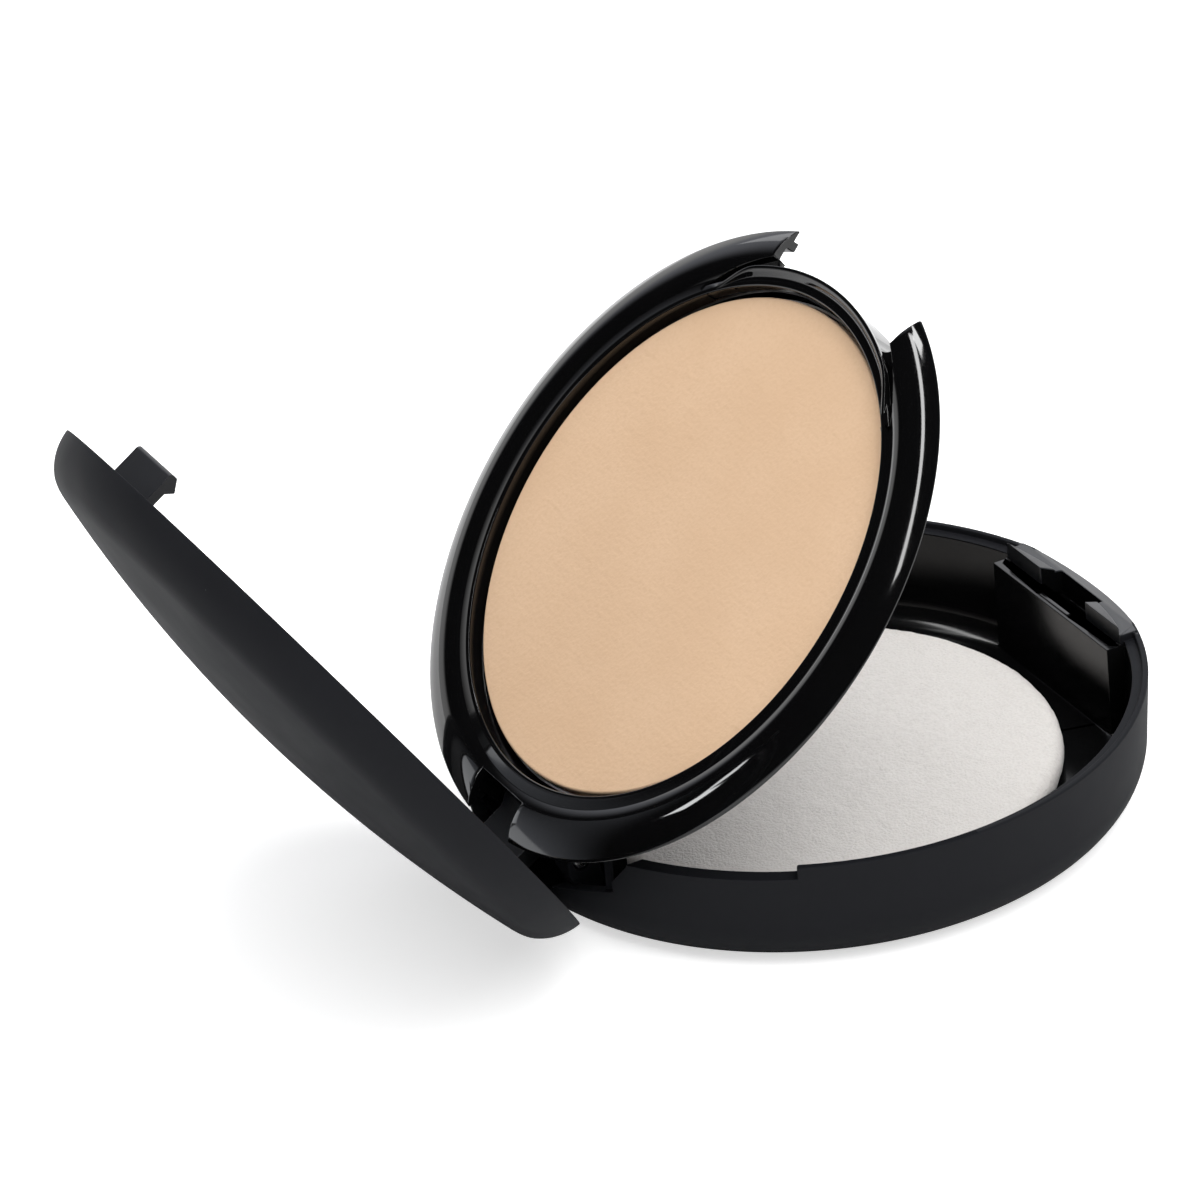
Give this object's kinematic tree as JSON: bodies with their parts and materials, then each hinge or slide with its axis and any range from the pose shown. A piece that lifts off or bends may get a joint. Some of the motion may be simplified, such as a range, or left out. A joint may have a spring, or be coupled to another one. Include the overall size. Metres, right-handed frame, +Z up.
{
  "type": "powder compact",
  "caption": "Round double-deck powder compact: base with a puff well, hinged glossy tray with pressed powder, and hinged domed lid with an inner mirror.",
  "frame": {"origin": "centre of the base's flat underside", "axes": "+Z up along the base's axis, -Y towards the catch at the front, +Y towards the hinge at the rear, +X along the hinge pin"},
  "size_m": [0.077, 0.1185, 0.0663],
  "materials": {
    "base_plastic": "soft-touch satin black",
    "lid_plastic": "soft-touch satin black",
    "frame_plastic": "satin black",
    "tray_plastic": "polished black",
    "puff_felt": "off-white felted sponge",
    "powder": "pressed beige powder, fully matte",
    "pan_metal": "plain pressed sheet",
    "pin_steel": "drawn wire",
    "mirror_glass": "silvered glass",
    "glue": "clear pressure-sensitive pad"
  },
  "bodies": {
    "base": {"base_shell": "base_plastic", "puff": "puff_felt", "hinge_pin": "pin_steel"},
    "tray": {"tray_frame": "tray_plastic", "powder_pan": "pan_metal", "pressed_powder": "powder", "pan_glue": "glue"},
    "lid": {"lid_shell": "lid_plastic", "lid_frame": "frame_plastic", "mirror": "mirror_glass", "mirror_glue": "glue"}
  },
  "joints": [
    {"name": "tray_hinge", "type": "hinge", "parent": "base", "child": "tray", "pos_m": [0, 0.0341, 0.00848], "axis": [-1, 0, 0], "range_deg": [-45.4, 1]},
    {"name": "lid_hinge", "type": "hinge", "parent": "tray", "child": "lid", "pos_m": [0, 0.0341, 0.00848], "axis": [-1, 0, 0], "range_deg": [-77.4, 1.5]}
  ]
}
